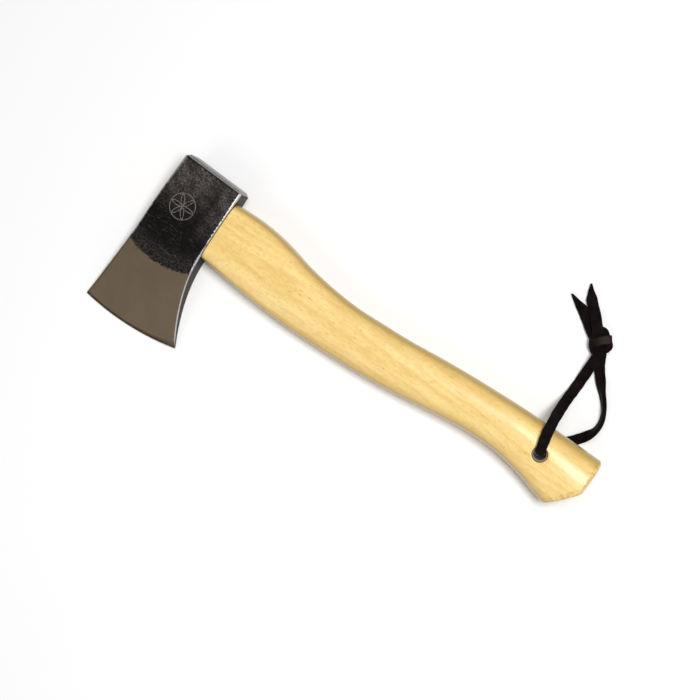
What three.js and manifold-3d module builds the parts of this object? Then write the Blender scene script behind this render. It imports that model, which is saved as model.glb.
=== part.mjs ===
// A small camping hatchet lying on its cheek: a forged head with a ground bit, a curved ash handle held in
// the eye by a wooden wedge and a steel ring wedge, and a leather lanyard knotted through the butt.
//
// Millimetres. +X runs along the handle towards the butt, +Y towards the poll, +Z up from the floor (Z = 0).
// The tool is drawn in its own frame, centred in the eye with the blade in the XY plane, and is then laid
// down: rolled onto its cheek, so that the cutting edge reaches the floor, and propped at the butt by the
// lanyard strap that passes under the handle.
import * as THREE from "three";
import { mergeVertices } from "three/addons/utils/BufferGeometryUtils.js";
import Module from "manifold-3d";

const wasm = await Module();
wasm.setup();

const GAP = 0.3; // left between pieces that touch

// --- how the tool lies ---------------------------------------------------------------------------------
const EYE_CENTRE = new THREE.Vector3(-136.4, 25.9, 13.06); // from the point below the middle of the tool
const ROLL = THREE.MathUtils.degToRad(8.2); // half the wedge angle of the head
const PITCH = THREE.MathUtils.degToRad(0.5); // the butt stands on the strap

// --- head ----------------------------------------------------------------------------------------------
const HEAD = {
  toeX: -21.4, // eye faces, towards the tip of the handle and towards the butt
  heelX: 22.4,
  pollY: 30.6,
  pollSlope: 1.2, // the poll is lower on its butt side
  cornerRadius: 1.6,
  edgeToe: [-29.2, -82.8], // ends of the cutting edge
  edgeHeel: [40, -78.4],
  edgeRadius: 175,
  halfThickness: 12, // at the eye
  pollHalfThickness: 11.3,
  cheekStartY: -5, // the flat cheek runs from here to the edge
  cheekEndY: -86,
  cheekEndHalfThickness: 0.4,
  bevelSlope: 0.5, // the narrow bevel that makes the edge, on each side
  edgeHalfThickness: 0.12,
  chamfer: 1.8,
};
const EYE = { depth: 37, width: 15.6, toeGrowth: 1.07 }; // the eye opens towards the toe face

// --- handle --------------------------------------------------------------------------------------------
// Stations every 20 mm from the shoulder: upper edge, lower edge and half thickness of the oval section.
const SHOULDER_X = HEAD.heelX + GAP;
const STATION_STEP = 20;
const UPPER_EDGE = [
  20.9, 21.4, 19.4, 15.1, 12.4, 11.3, 12.2, 13.5, 15.7, 17.6, 18.9, 20, 20.5, 20.6, 20.6,
];
const LOWER_EDGE = [
  -20.3, -22.2, -23.8, -24.7, -24.8, -24, -22.7, -20.8, -18, -14.9, -12.5, -12.3, -15.3, -20.6, -25,
];
const HALF_THICKNESS = [
  11.4, 11.4, 11.3, 11.1, 10.8, 10.6, 10.6, 10.7, 10.9, 11.1, 11.3, 11.6, 12, 12.9, 13.2,
];
const HANDLE = {
  endX: 301.8, // butt face
  endRounding: 5,
  squareness: 2.25, // exponent of the superellipse section
  shoulderSquareness: 4.2, // the section starts nearly as square as the head
  squareLength: 95,
  footCorner: [299.8, -4.6], // the sloped cut under the butt starts here
  footAngle: THREE.MathUtils.degToRad(52),
  holeX: 267,
  holeY: 3.4,
  holeRadius: 4,
  holeChamfer: 1.2,
};
const TENON = { topX: -21.9 }; // flush with the toe face

// --- wedges --------------------------------------------------------------------------------------------
const WEDGE = { topWidth: 4.6, tipWidth: 1.2, length: 32 };
const RING = { radius: 5.6, wall: 1.3, length: 12, taper: 0.5 };

// --- lanyard -------------------------------------------------------------------------------------------
// A flat leather thong. Its two strands meet in the middle of the hole and run to the knot, one over the
// handle and one under it; both lie on the floor as far as the knot.
const THONG = { width: 5.4, thickness: 2.6, corner: 0.7, stepLength: 3.5 };
const FRONT_STRAND = [
  [124.7, 102.2, 6.2],
  [126, 99.6, 5.8],
  [126.1, 94, 4.7],
  [126.4, 88, 3.2],
  [126.6, 82, 2],
  [126.6, 75.5, 1.8],
  [126.3, 69, 3.8],
  [125.9, 61, 10],
  [125.8, 53.5, 17.8],
  [126, 47.5, 24.3],
  [126.4, 42.5, 28.2],
  [127.2, 37.5, 30.7],
  [128.4, 32.6, 31.1],
  [129.6, 28.9, 28.6],
  [130.1, 28, 24.5],
  [130.3, 29, 16.2],
];
const BACK_STRAND = [
  [126.8, 103.5, 2.8],
  [128.7, 100.6, 2],
  [131.8, 95.2, 1.5],
  [139.6, 85.4, 1.5],
  [147.6, 76.6, 1.5],
  [151.6, 68.6, 1.5],
  [151.8, 60.6, 1.5],
  [147.8, 52.6, 1.5],
  [141.5, 44.8, 1.5],
  [136.4, 38.6, 1.5],
  [133.3, 34.8, 1.9],
  [131.2, 31.9, 4.2],
  [130.6, 30.4, 8.5],
  [130.3, 29.2, 15.6],
];
const KNOT = { centre: [121.3, 109.4, 5.1], turn: 35.4, length: 14.4, width: 14.4, height: 9.6 };
const RIGHT_TAIL = { base: [115, 115, 6.9], tip: [95.6, 136.1, 2.9] };
const LEFT_TAIL = { base: [113, 110.8, 2.9], tip: [90.4, 123.9, 1.5] };

const MATERIALS = {
  head: new THREE.MeshStandardMaterial({ color: 0x1b1a19, roughness: 0.45, metalness: 0.6 }),
  handle: new THREE.MeshStandardMaterial({ color: 0xe8c583, roughness: 0.35, metalness: 0 }),
  wedge: new THREE.MeshStandardMaterial({ color: 0xb98a54, roughness: 0.6, metalness: 0 }),
  ring: new THREE.MeshStandardMaterial({ color: 0x8c8c8a, roughness: 0.4, metalness: 1 }),
  lanyard: new THREE.MeshStandardMaterial({ color: 0x1d1412, roughness: 0.9, metalness: 0 }),
};

// A closed three.js geometry as a manifold solid.
function solid(geometry) {
  const bare = new THREE.BufferGeometry();
  bare.setAttribute("position", geometry.getAttribute("position"));
  bare.setIndex(geometry.index);
  const merged = mergeVertices(bare, 1e-4);
  return new wasm.Manifold(
    new wasm.Mesh({
      numProp: 3,
      vertProperties: new Float32Array(merged.attributes.position.array),
      triVerts: new Uint32Array(merged.index.array),
    }),
  );
}

// A manifold solid as a named mesh.
function mesh(name, body, material) {
  const { vertProperties, triVerts } = body.getMesh();
  const geometry = new THREE.BufferGeometry();
  geometry.setAttribute("position", new THREE.BufferAttribute(vertProperties, 3));
  geometry.setIndex(new THREE.BufferAttribute(triVerts, 1));
  geometry.computeVertexNormals();
  const made = new THREE.Mesh(geometry, material);
  made.name = name;
  return made;
}

// A shape drawn in the XY plane, as a plate centred on Z = 0.
function plate(shape, thickness, curveSegments = 12) {
  const geometry = new THREE.ExtrudeGeometry(shape, { depth: thickness, bevelEnabled: false, curveSegments });
  return geometry.translate(0, 0, -thickness / 2);
}

// A frustum along X with an oval section, from startX to endX; the radii are [half depth, half width].
function ovalFrustum(startX, endX, startRadii, endRadii, segments = 40) {
  const length = endX - startX;
  const geometry = new THREE.CylinderGeometry(1, 1, length, segments, 1);
  const position = geometry.getAttribute("position");
  for (let i = 0; i < position.count; i++) {
    const share = position.getY(i) / length + 0.5;
    const depth = THREE.MathUtils.lerp(startRadii[0], endRadii[0], share);
    const width = THREE.MathUtils.lerp(startRadii[1], endRadii[1], share);
    position.setXYZ(i, startX + share * length, -position.getX(i) * depth, position.getZ(i) * width);
  }
  return geometry;
}

// --- head ----------------------------------------------------------------------------------------------

// The middle of the circle that the cutting edge lies on.
function edgeCentre() {
  const { edgeToe, edgeHeel, edgeRadius } = HEAD;
  const chord = new THREE.Vector2(edgeHeel[0] - edgeToe[0], edgeHeel[1] - edgeToe[1]);
  const toCentre = Math.sqrt(edgeRadius ** 2 - chord.lengthSq() / 4);
  const middle = new THREE.Vector2(edgeToe[0] + chord.x / 2, edgeToe[1] + chord.y / 2);
  return middle.add(new THREE.Vector2(-chord.y, chord.x).setLength(toCentre));
}

// A flat double cone that leaves the bevel along the whole curved edge.
function edgeBevel() {
  const { edgeRadius, bevelSlope, edgeHalfThickness } = HEAD;
  const reach = 25;
  const profile = [
    [0, -reach],
    [edgeRadius - (reach - edgeHalfThickness) / bevelSlope, -reach],
    [edgeRadius + 0.05, -edgeHalfThickness],
    [edgeRadius + 0.05, edgeHalfThickness],
    [edgeRadius - (reach - edgeHalfThickness) / bevelSlope, reach],
    [0, reach],
  ].map(([r, z]) => new THREE.Vector2(r, z));
  const centre = edgeCentre();
  return solid(new THREE.LatheGeometry(profile, 240).rotateX(Math.PI / 2).translate(centre.x, centre.y, 0));
}

// The head from the side: a straight toe face, a heel that sweeps out to the edge, and a curved edge.
function headSide() {
  const { toeX, heelX, pollY, pollSlope, cornerRadius: r, edgeToe, edgeHeel, edgeRadius } = HEAD;
  const centre = edgeCentre();
  const shape = new THREE.Shape();
  shape.moveTo(toeX, pollY - r);
  shape.quadraticCurveTo(toeX, pollY, toeX + r, pollY);
  shape.lineTo(heelX - r, pollY - pollSlope);
  shape.quadraticCurveTo(heelX, pollY - pollSlope, heelX, pollY - pollSlope - r);
  shape.lineTo(heelX, -20);
  shape.bezierCurveTo(heelX - 0.3, -38, 28.6, -58, edgeHeel[0], edgeHeel[1]);
  const angleTo = (point) => Math.atan2(point[1] - centre.y, point[0] - centre.x);
  shape.absarc(centre.x, centre.y, edgeRadius, angleTo(edgeHeel), angleTo(edgeToe), true);
  shape.quadraticCurveTo(toeX - 4, -48, toeX - 2.2, -28);
  shape.quadraticCurveTo(toeX - 0.8, 4, toeX, pollY - r);
  return shape;
}

// The head from its toe face: poll, parallel eye, then flat cheeks down to the edge.
function headProfile() {
  const { pollY, halfThickness, pollHalfThickness, chamfer } = HEAD;
  const { cheekStartY, cheekEndY, cheekEndHalfThickness } = HEAD;
  const right = [
    [pollY + 1, pollHalfThickness - chamfer],
    [pollY - chamfer, pollHalfThickness],
    [12, halfThickness],
    [cheekStartY, halfThickness],
    [cheekEndY, cheekEndHalfThickness],
  ];
  const left = right.map(([y, z]) => [y, -z]).reverse();
  return new THREE.Shape([...right, ...left].map(([y, z]) => new THREE.Vector2(y, z)));
}

function makeHead() {
  const side = solid(plate(headSide(), 40, 16));
  const along = plate(headProfile(), 100);
  along.applyMatrix4(
    new THREE.Matrix4().makeBasis(
      new THREE.Vector3(0, 1, 0),
      new THREE.Vector3(0, 0, 1),
      new THREE.Vector3(1, 0, 0),
    ),
  );
  const heelRadii = [EYE.depth / 2, EYE.width / 2];
  const toeRadii = heelRadii.map((r) => r * EYE.toeGrowth);
  const eye = solid(ovalFrustum(-30, HEAD.heelX + 1, toeRadii, heelRadii));
  return side.intersect(solid(along)).intersect(edgeBevel()).subtract(eye);
}

// --- handle --------------------------------------------------------------------------------------------

// A smooth curve through values set every STATION_STEP along the handle.
function station(values) {
  const curve = new THREE.SplineCurve(values.map((v, i) => new THREE.Vector2(i * STATION_STEP, v)));
  const span = (values.length - 1) * STATION_STEP;
  return (x) => curve.getPoint(THREE.MathUtils.clamp((x - SHOULDER_X) / span, 0, 1)).y;
}

// The whole length outside the head: a cylinder whose rings are moved onto the oval sections.
function makeShaft() {
  const upper = station(UPPER_EDGE);
  const lower = station(LOWER_EDGE);
  const half = station(HALF_THICKNESS);
  const { endX, endRounding, squareness, shoulderSquareness, squareLength } = HANDLE;
  const rows = 48;
  const endRows = 4;
  const ring = 36;
  const geometry = new THREE.CylinderGeometry(1, 1, rows, ring, rows);
  const position = geometry.getAttribute("position");
  for (let i = 0; i < position.count; i++) {
    const row = Math.round(position.getY(i) + rows / 2);
    const straight = rows - endRows;
    const turn = (Math.max(0, row - straight) / endRows) * (Math.PI / 2);
    const along = Math.min(row, straight) / straight;
    const x = THREE.MathUtils.lerp(SHOULDER_X, endX - endRounding, along) + endRounding * Math.sin(turn);
    const inset = endRounding * (1 - Math.cos(turn)) * 0.85;
    const depth = (upper(x) - lower(x)) / 2 - inset;
    const width = half(x) - inset;
    const middle = (upper(x) + lower(x)) / 2;
    const rim = Math.hypot(position.getX(i), position.getZ(i));
    const angle = Math.atan2(position.getZ(i), position.getX(i));
    const eased = THREE.MathUtils.smoothstep(x, SHOULDER_X, SHOULDER_X + squareLength);
    const exponent = THREE.MathUtils.lerp(shoulderSquareness, squareness, eased);
    const bulge = (v) => Math.sign(v) * Math.abs(v) ** (2 / exponent);
    position.setXYZ(
      i,
      x,
      middle - rim * depth * bulge(Math.cos(angle)),
      rim * width * bulge(Math.sin(angle)),
    );
  }
  return solid(geometry);
}

// The hole for the lanyard, chamfered where it breaks the two sides.
function lanyardHole() {
  const { holeX, holeY, holeRadius, holeChamfer } = HANDLE;
  const mouth = station(HALF_THICKNESS)(holeX);
  const reach = 3;
  const profile = [
    [0, -mouth - reach],
    [holeRadius + holeChamfer + reach, -mouth - reach],
    [holeRadius, -mouth + holeChamfer],
    [holeRadius, mouth - holeChamfer],
    [holeRadius + holeChamfer + reach, mouth + reach],
    [0, mouth + reach],
  ].map(([r, z]) => new THREE.Vector2(r, z));
  const geometry = new THREE.LatheGeometry(profile, 32).rotateX(Math.PI / 2);
  return solid(geometry.translate(holeX, holeY, 0));
}

// The sloped cut below the butt.
function footCut() {
  const { footCorner, footAngle } = HANDLE;
  const size = 60;
  const geometry = new THREE.BoxGeometry(size, size, size).translate(size / 2, -size / 2, 0);
  return solid(geometry.rotateZ(footAngle - Math.PI / 2).translate(footCorner[0], footCorner[1], 0));
}

// The tapered slot for the wooden wedge, or the wedge itself when grow is 0.
function wedgeSlab(grow, height) {
  const { topWidth, tipWidth, length } = WEDGE;
  const top = topWidth / 2 + grow;
  const tip = tipWidth / 2 + grow;
  const slab = new THREE.Shape([
    new THREE.Vector2(TENON.topX - grow * 4, -top),
    new THREE.Vector2(TENON.topX + length + grow, -tip),
    new THREE.Vector2(TENON.topX + length + grow, tip),
    new THREE.Vector2(TENON.topX - grow * 4, top),
  ]);
  return solid(plate(slab, height).rotateX(Math.PI / 2));
}

// The conical steel ring driven into the end grain, or its seat when grow is above 0.
function ringWedge(grow) {
  const { radius, wall, length, taper } = RING;
  const top = grow ? -grow * 4 : 0;
  const profile = [
    [radius - wall - grow, top],
    [radius + grow, top],
    [radius - taper + grow, length + grow],
    [radius - taper - 0.4 - grow, length + grow],
    [radius - wall - grow, top],
  ].map(([r, depth]) => new THREE.Vector2(r, depth));
  const geometry = new THREE.LatheGeometry(profile, 32).rotateZ(-Math.PI / 2);
  return solid(geometry.translate(TENON.topX, 0, 0));
}

function tenonOval(grow, endX) {
  const share = (x) => THREE.MathUtils.mapLinear(x, HEAD.heelX + 1, -30, 1, EYE.toeGrowth);
  const radii = (x) => [(EYE.depth / 2) * share(x) - grow, (EYE.width / 2) * share(x) - grow];
  return solid(ovalFrustum(TENON.topX, endX, radii(TENON.topX), radii(endX)));
}

function makeHandle() {
  return makeShaft()
    .subtract(footCut())
    .subtract(lanyardHole())
    .add(tenonOval(GAP, SHOULDER_X + 1))
    .subtract(wedgeSlab(GAP, 60))
    .subtract(ringWedge(GAP));
}

function makeWedge() {
  return wedgeSlab(0, 60).intersect(tenonOval(GAP, SHOULDER_X)).subtract(ringWedge(GAP));
}

// --- lanyard -------------------------------------------------------------------------------------------

// One strand: the flat section of the thong, swept from the knot into the hole.
function makeStrand(name, route) {
  const { width, thickness, corner, stepLength } = THONG;
  const quarter = [
    [thickness / 2, width / 2 - corner],
    [thickness / 2 - corner, width / 2],
  ];
  const half = [...quarter, ...quarter.map(([a, b]) => [-a, b]).reverse()];
  const outline = [...half, ...half.map(([a, b]) => [a, -b]).reverse()];
  const section = new THREE.Shape(outline.map(([a, b]) => new THREE.Vector2(a, b)));
  const path = new THREE.CatmullRomCurve3(route.map((point) => new THREE.Vector3(...point)));
  const steps = Math.round(path.getLength() / stepLength);
  const geometry = new THREE.ExtrudeGeometry(section, { extrudePath: path, steps, bevelEnabled: false });
  return mesh(name, solid(geometry), MATERIALS.lanyard);
}

// The tightened knot, as a plain barrel lying on the floor.
function makeKnot() {
  const { centre, turn, length, width, height } = KNOT;
  const profile = [
    [0, -0.5],
    [0.26, -0.5],
    [0.44, -0.32],
    [0.5, 0],
    [0.44, 0.32],
    [0.26, 0.5],
    [0, 0.5],
  ].map(([r, along]) => new THREE.Vector2(r * width, along * length));
  const geometry = new THREE.LatheGeometry(profile, 20).scale(1, 1, height / width);
  geometry.rotateZ(THREE.MathUtils.degToRad(turn));
  const knot = mesh("lanyard_knot", solid(geometry), MATERIALS.lanyard);
  knot.position.set(...centre);
  return knot;
}

// One tail of the thong: a flat strip from the knot, cut to a point on a slant.
function makeTail(name, { base, tip }) {
  const { width, thickness } = THONG;
  const start = new THREE.Vector3(...base);
  const along = new THREE.Vector3(...tip).sub(start);
  const length = along.length();
  const strip = new THREE.Shape();
  strip.moveTo(0, -width / 2);
  strip.lineTo(length - 11, -width / 2);
  strip.lineTo(length - 0.6, -0.8);
  strip.lineTo(length - 0.6, 0.8);
  strip.lineTo(length - 8, width / 2);
  strip.lineTo(0, width / 2);
  const side = new THREE.Vector3(0, 0, 1).cross(along).normalize();
  const tail = mesh(name, solid(plate(strip, thickness)), MATERIALS.lanyard);
  along.normalize();
  tail.setRotationFromMatrix(new THREE.Matrix4().makeBasis(along, side, along.clone().cross(side)));
  tail.position.copy(start);
  return tail;
}

const tool = new THREE.Group();
tool.rotation.set(ROLL, -PITCH, 0, "YXZ");
tool.position.copy(EYE_CENTRE);
tool.add(mesh("head", makeHead(), MATERIALS.head));
tool.add(mesh("handle", makeHandle(), MATERIALS.handle));
tool.add(mesh("wooden_wedge", makeWedge(), MATERIALS.wedge));
tool.add(mesh("ring_wedge", ringWedge(0), MATERIALS.ring));

const lanyard = new THREE.Group();
lanyard.add(makeStrand("lanyard_front_strand", FRONT_STRAND));
lanyard.add(makeStrand("lanyard_back_strand", BACK_STRAND));
lanyard.add(makeKnot());
lanyard.add(makeTail("lanyard_right_tail", RIGHT_TAIL));
lanyard.add(makeTail("lanyard_left_tail", LEFT_TAIL));

const hatchet = new THREE.Group();
hatchet.add(tool, lanyard);

export default hatchet;
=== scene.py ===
import math

import bmesh
import bpy
import numpy as np
from mathutils import Matrix, Vector, noise


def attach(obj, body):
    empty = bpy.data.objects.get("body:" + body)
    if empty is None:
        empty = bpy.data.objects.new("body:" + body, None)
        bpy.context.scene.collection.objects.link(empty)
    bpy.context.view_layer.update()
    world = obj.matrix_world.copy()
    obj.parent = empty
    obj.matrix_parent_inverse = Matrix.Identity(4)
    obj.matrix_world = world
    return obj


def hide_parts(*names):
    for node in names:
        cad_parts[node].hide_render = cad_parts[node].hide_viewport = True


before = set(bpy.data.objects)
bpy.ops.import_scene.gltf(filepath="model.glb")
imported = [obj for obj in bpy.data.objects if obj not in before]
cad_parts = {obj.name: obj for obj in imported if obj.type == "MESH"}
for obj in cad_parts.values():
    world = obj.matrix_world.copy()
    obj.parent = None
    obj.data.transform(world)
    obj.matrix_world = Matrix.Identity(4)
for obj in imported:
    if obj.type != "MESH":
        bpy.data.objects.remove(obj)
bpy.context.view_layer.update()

scene = bpy.context.scene


# --- camera --------------------------------------------------------------------------------------------
# Looks almost straight down from arm's length on the hatchet lying on its cheek, with the head to the
# upper left of the view and the butt to the lower right.
camera_data = bpy.data.cameras.new("camera")
camera_data.sensor_width = 36
camera_data.lens = 64.98
camera = bpy.data.objects.new("camera", camera_data)
scene.collection.objects.link(camera)
view_right = Vector((0.81069, 0.58251, -0.05889))
view_up = Vector((-0.57793, 0.81228, 0.07875))
view_back = view_right.cross(view_up)
camera_turn = Matrix((view_right, view_up, view_back)).transposed().to_4x4()
camera.matrix_world = Matrix.Translation((0.07205, -0.01110, 0.80612)) @ camera_turn
scene.camera = camera


# --- lanyard strands -----------------------------------------------------------------------------------
# One flat thong cut from thick black-brown leather, pushed through the hole in the butt. Each half of it
# is a cord of its own here: it starts in the middle of the hole and ends at the pointed tip of its tail.
# The front half lies over the handle, the back half under it, and the knot holds the two together.
MM = 0.001
THONG_WIDTH = 5.4
THONG_THICKNESS = 2.5
THONG_CORNER = 0.75
FRONT_WIDTH = 6.9
BACK_WIDTH = 6.6
TIP_WIDTH = 0.9
FREE_LENGTH = 133        # from the tip to where the hole squeezes the thong
WIDENING = 10            # how far the thong takes to spread again outside the hole
EDGE_WAVER = 0.24        # how far its cut edges wander
EDGE_ROOM = 0.15         # left for them above the floor
FLOOR_GAP = 0.2

FRONT_ROUTE = [
    (130.3, 29, 16.2), (130.1, 28, 24.5), (129.6, 28.9, 28.6), (128.4, 32.6, 31.1), (127.2, 37.5, 30.7),
    (126.4, 42.5, 28.2), (126, 47.5, 24.3), (125.8, 53.5, 17.8), (125.9, 61, 10), (126.3, 69, 3.8),
    (126.6, 75.5, 1.8), (126.6, 82, 2), (126.4, 88, 3.2), (126.1, 94, 4.7), (126, 99.6, 5.8),
    (124.7, 102.2, 6.2), (121.9, 106.3, 6.3), (119.2, 110.0, 6.4), (116.6, 113.7, 6.3), (112.2, 118.9, 5.0),
    (107.6, 123.6, 3.4), (103.2, 127.9, 2.1), (99.4, 132.2, 1.6), (96.3, 136.0, 1.5),
]
BACK_ROUTE = [
    (130.3, 29.2, 15.6), (130.6, 30.4, 8.5), (131.2, 31.9, 4.2), (133.3, 34.8, 1.9), (136.4, 38.6, 1.5),
    (141.5, 44.8, 1.5), (147.8, 52.6, 1.7), (151.8, 60.6, 2.5), (151.6, 68.6, 2.8), (147.6, 76.6, 2.5),
    (139.6, 85.4, 1.6), (131.8, 95.2, 1.5), (128.7, 100.6, 2.4), (126.8, 103.5, 3.1), (123.8, 106.4, 3.5),
    (120.0, 108.3, 3.5), (116.6, 109.9, 3.3), (112.5, 112.4, 2.4), (107.4, 116.0, 1.6), (102.2, 119.5, 1.5),
    (97.0, 122.8, 1.5), (92.0, 126.2, 1.5),
]


def plain_mesh(name, points, faces, edges=()):
    mesh = bpy.data.meshes.new(name)
    mesh.from_pydata([tuple(p) for p in points], list(edges), faces)
    obj = bpy.data.objects.new(name, mesh)
    scene.collection.objects.link(obj)
    return obj


def set_inputs(tree, node, inputs):
    """Joins a node's inputs to sockets, or sets them to values."""
    for key, value in inputs.items():
        if isinstance(value, bpy.types.NodeSocket):
            tree.links.new(value, node.inputs[key])
        else:
            node.inputs[key].default_value = value


def add_node(tree, kind, inputs=(), **settings):
    """A node with its settings made and its inputs joined to sockets or given values."""
    node = tree.nodes.new(kind)
    for key, value in settings.items():
        setattr(node, key, value)
    set_inputs(tree, node, dict(inputs))
    return node


def clamp(value, low=0.0, high=1.0):
    return max(low, min(high, value))


def curve_between(a, b, c, d, t):
    """The point at share t of the way from b to c, on a smooth curve that also passes a and d."""
    bow = (2 * a - 5 * b + 4 * c - d) * t**2 + (3 * b - a - 3 * c + d) * t**3
    return b + 0.5 * ((c - a) * t + bow)


def smooth_route(points, spacing):
    """Evenly spaced points along a smooth curve through the given ones."""
    given = np.array(points, float)
    padded = np.vstack([2 * given[0] - given[1], given, 2 * given[-1] - given[-2]])
    curve = []
    for around in zip(padded, padded[1:], padded[2:], padded[3:]):
        curve += [curve_between(*around, t) for t in np.linspace(0, 1, 12, endpoint=False)]
    curve = np.array(curve + [given[-1]])
    for _ in range(6):
        curve[1:-1] = (curve[:-2] + 2 * curve[1:-1] + curve[2:]) / 4
    along = np.r_[0, np.cumsum(np.linalg.norm(np.diff(curve, axis=0), axis=1))]
    even = np.linspace(0, along[-1], round(along[-1] / spacing) + 1)
    return np.stack([np.interp(even, along, curve[:, i]) for i in range(3)], axis=1)


def calc(tree, operation, a, b=0.0):
    return add_node(tree, "ShaderNodeMath", {0: a, 1: b}, operation=operation).outputs[0]


def times(tree, a, b):
    return calc(tree, "MULTIPLY", a, b)


def plus(tree, a, b):
    return calc(tree, "ADD", a, b)


def minus(tree, a, b):
    return calc(tree, "SUBTRACT", a, b)


def vector_calc(tree, operation, a, b):
    """The vector that two vectors make, or the one number of a dot product or a distance."""
    outputs = add_node(tree, "ShaderNodeVectorMath", {0: a, 1: b}, operation=operation).outputs
    return outputs["Value" if operation in ("DOT_PRODUCT", "DISTANCE") else "Vector"]


def stored(tree, name, kind):
    """What the mesh or curve keeps at each point under this name."""
    return add_node(tree, "GeometryNodeInputNamedAttribute", {"Name": name}, data_type=kind).outputs[0]


def make_thong_tree():
    """Sweeps the thong's rounded oblong section along a path, then trims its two edges to length."""
    tree = bpy.data.node_groups.new("thong", "GeometryNodeTree")
    tree.interface.new_socket("Path", in_out="INPUT", socket_type="NodeSocketGeometry")
    for size in ("Width", "Thickness", "Corner"):
        tree.interface.new_socket(size, in_out="INPUT", socket_type="NodeSocketFloat")
    tree.interface.new_socket("Leather", in_out="INPUT", socket_type="NodeSocketMaterial")
    tree.interface.new_socket("Thong", in_out="OUTPUT", socket_type="NodeSocketGeometry")
    given = tree.nodes.new("NodeGroupInput").outputs
    line = add_node(tree, "GeometryNodeMeshToCurve", {"Mesh": given["Path"]}).outputs["Curve"]
    flat = stored(tree, "flat", "FLOAT_VECTOR")
    line = add_node(tree, "GeometryNodeSetCurveNormal", {"Curve": line, "Normal": flat}, mode="FREE")
    sides = {"Width": given["Thickness"], "Height": given["Width"]}
    oblong = add_node(tree, "GeometryNodeCurvePrimitiveQuadrilateral", sides).outputs["Curve"]
    finer = add_node(tree, "GeometryNodeSubdivideCurve", {"Curve": oblong, "Cuts": 3}).outputs["Curve"]
    corners = {"Curve": finer, "Count": 3, "Radius": given["Corner"], "Limit Radius": True}
    section = add_node(tree, "GeometryNodeFilletCurve", corners, mode="POLY").outputs["Curve"]
    sweep = {"Curve": line.outputs["Curve"], "Profile Curve": section, "Fill Caps": True}
    swept = add_node(tree, "GeometryNodeCurveToMesh", sweep).outputs[0]
    side = stored(tree, "side", "FLOAT_VECTOR")
    place = tree.nodes.new("GeometryNodeInputPosition").outputs[0]
    off = vector_calc(tree, "SUBTRACT", place, stored(tree, "spine", "FLOAT_VECTOR"))
    across = vector_calc(tree, "DOT_PRODUCT", off, side)
    edges = {
        "Factor": plus(tree, calc(tree, "DIVIDE", across, given["Width"]), 0.5),
        "A": stored(tree, "near_edge", "FLOAT"),
        "B": stored(tree, "far_edge", "FLOAT"),
    }
    trimmed = add_node(tree, "ShaderNodeMix", edges, data_type="FLOAT", clamp_factor=False).outputs[0]
    push = {0: side, "Scale": minus(tree, trimmed, across)}
    shift = add_node(tree, "ShaderNodeVectorMath", push, operation="SCALE").outputs[0]
    moved = add_node(tree, "GeometryNodeSetPosition", {"Geometry": swept, "Offset": shift}).outputs[0]
    real = add_node(tree, "GeometryNodeRealizeInstances", {"Geometry": moved}).outputs[0]
    dye = {"Geometry": real, "Material": given["Leather"]}
    thong = add_node(tree, "GeometryNodeSetMaterial", dye).outputs[0]
    add_node(tree, "NodeGroupOutput", {"Thong": thong})
    return tree


def merge_points(mesh, distance=1e-6):
    """Joins points that fall together, and turns the faces outwards."""
    work = bmesh.new()
    work.from_mesh(mesh)
    bmesh.ops.remove_doubles(work, verts=work.verts, dist=distance)
    bmesh.ops.recalc_face_normals(work, faces=work.faces)
    work.to_mesh(mesh)
    work.free()


def finished_mesh(obj):
    """The object with its modifiers made real, faces outwards and shaded smooth."""
    evaluated = obj.evaluated_get(bpy.context.evaluated_depsgraph_get())
    mesh = bpy.data.meshes.new_from_object(evaluated)
    obj.modifiers.clear()
    obj.data = mesh
    merge_points(mesh)
    mesh.shade_smooth()
    return obj


def new_material(name):
    material = bpy.data.materials.new(name)
    material.use_nodes = True
    return material, material.node_tree, material.node_tree.nodes["Principled BSDF"]


def attribute(tree, name):
    return add_node(tree, "ShaderNodeAttribute", attribute_name=name).outputs["Fac"]


def speckle(tree, vector, scale, detail=3.0, roughness=0.5):
    inputs = {"Vector": vector, "Scale": scale, "Detail": detail, "Roughness": roughness}
    return add_node(tree, "ShaderNodeTexNoise", inputs).outputs["Fac"]


def mixed(tree, factor, a, b):
    """One colour turning into another."""
    inputs = {"Factor": factor}
    for index, colour in ((6, a), (7, b)):
        inputs[index] = (*colour, 1) if isinstance(colour, tuple) else colour
    return add_node(tree, "ShaderNodeMix", inputs, data_type="RGBA").outputs[2]


def bump(tree, height, strength, distance):
    inputs = {"Strength": strength, "Distance": distance, "Height": height}
    return add_node(tree, "ShaderNodeBump", inputs).outputs["Normal"]


def make_leather():
    material, tree, shader = new_material("dark_leather")
    place = tree.nodes.new("ShaderNodeTexCoord").outputs["Object"]
    nap = speckle(tree, place, 1900, 4, 0.65)
    patches = speckle(tree, place, 190)
    pores = add_node(
        tree, "ShaderNodeTexVoronoi", {"Vector": place, "Scale": 1300}, feature="DISTANCE_TO_EDGE"
    ).outputs["Distance"]
    dye = add_node(tree, "ShaderNodeValToRGB", {"Fac": times(tree, nap, patches)})
    shades = ((0.12, (0.0012, 0.0004, 0.0005, 1)), (0.42, (0.0115, 0.0066, 0.0062, 1)))
    for stop, (position, shade) in zip(dye.color_ramp.elements, shades):
        stop.position = position
        stop.color = shade
    # the top of the wrap painted lighter: a painted sheen
    sheen_mask = times(tree, attribute(tree, "knot_sheen"), nap)
    rough = {"Value": patches, "To Min": 0.58, "To Max": 0.86}
    height = plus(tree, calc(tree, "MINIMUM", pores, 0.22), nap)
    finish = {
        "Base Color": mixed(tree, sheen_mask, dye.outputs["Color"], (0.062, 0.044, 0.040)),
        "Roughness": add_node(tree, "ShaderNodeMapRange", rough).outputs["Result"],
        "Specular IOR Level": 0.05,
        "Sheen Weight": 0.03,
        "Sheen Roughness": 0.45,
        "Normal": bump(tree, height, 0.55, 0.00022),
    }
    set_inputs(tree, shader, finish)
    return material


thong_tree = make_thong_tree()
leather = make_leather()


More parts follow.
